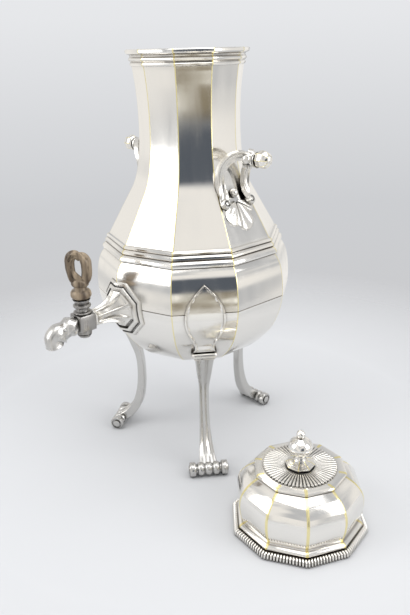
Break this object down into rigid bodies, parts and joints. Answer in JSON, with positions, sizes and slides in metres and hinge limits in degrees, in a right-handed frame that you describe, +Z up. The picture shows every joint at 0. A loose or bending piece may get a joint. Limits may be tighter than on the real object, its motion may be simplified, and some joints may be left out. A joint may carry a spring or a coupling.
{
  "type": "samovar",
  "caption": "Ten-sided silver-plated samovar with bowed legs, side knob handles, a tap with a turning wooden key and a lift-off domed lid.",
  "frame": {"origin": "on the table, under the vertical axis of the body", "axes": "+Z up; the tap points along -Y; the two handles point along +X and -X; the lid stands on the table towards +X"},
  "size_m": [0.3503, 0.2793, 0.4055],
  "materials": {
    "silver": "polished silver plate, worn warm on the edges and dark in the grooves",
    "tap_metal": "dull grey metal, plating worn off",
    "key_wood": "turned and carved brown hardwood, waxed"
  },
  "bodies": {
    "urn": {"body_shell": "silver", "lower_bowl": "silver", "base_plate": "silver", "lip_moulding": "silver", "band_moulding": "silver", "leg_plate_left": "silver", "leg_collar_left": "silver", "leg_shaft_left": "silver", "leg_roller_left": "silver", "leg_plate_right": "silver", "leg_collar_right": "silver", "leg_shaft_right": "silver", "leg_roller_right": "silver", "leg_plate_back": "silver", "leg_collar_back": "silver", "leg_shaft_back": "silver", "leg_roller_back": "silver", "handle_shell_left": "silver", "handle_rivet_left": "silver", "handle_strap_ccw_left": "silver", "handle_strap_cw_left": "silver", "handle_bridge_left": "silver", "handle_collar_left": "silver", "handle_knob_left": "silver", "handle_shell_right": "silver", "handle_rivet_right": "silver", "handle_strap_ccw_right": "silver", "handle_strap_cw_right": "silver", "handle_bridge_right": "silver", "handle_collar_right": "silver", "handle_knob_right": "silver", "tap_rose": "silver", "tap_trumpet": "silver", "tap_spout": "silver", "tap_block": "tap_metal"},
    "key": {"plug": "tap_metal", "plug_collar": "silver", "plug_washer": "tap_metal", "plug_nut": "tap_metal", "key_handle": "key_wood"},
    "lid": {"lid_border": "silver", "lid_dome": "silver", "lid_rosette": "silver", "finial_base": "silver", "finial_knob": "silver", "finial_ball": "silver", "finial_stud": "tap_metal", "finial_nut": "tap_metal"}
  },
  "joints": [
    {"name": "key_turn", "type": "hinge", "parent": "urn", "child": "key", "pos_m": [0, -0.138, 0.1725], "axis": [0, 0, 1], "continuous": true},
    {"name": "lid_lift", "type": "slide", "parent": "urn", "child": "lid", "axis": [0, 0, 1], "range_m": [0, 0.45]}
  ]
}
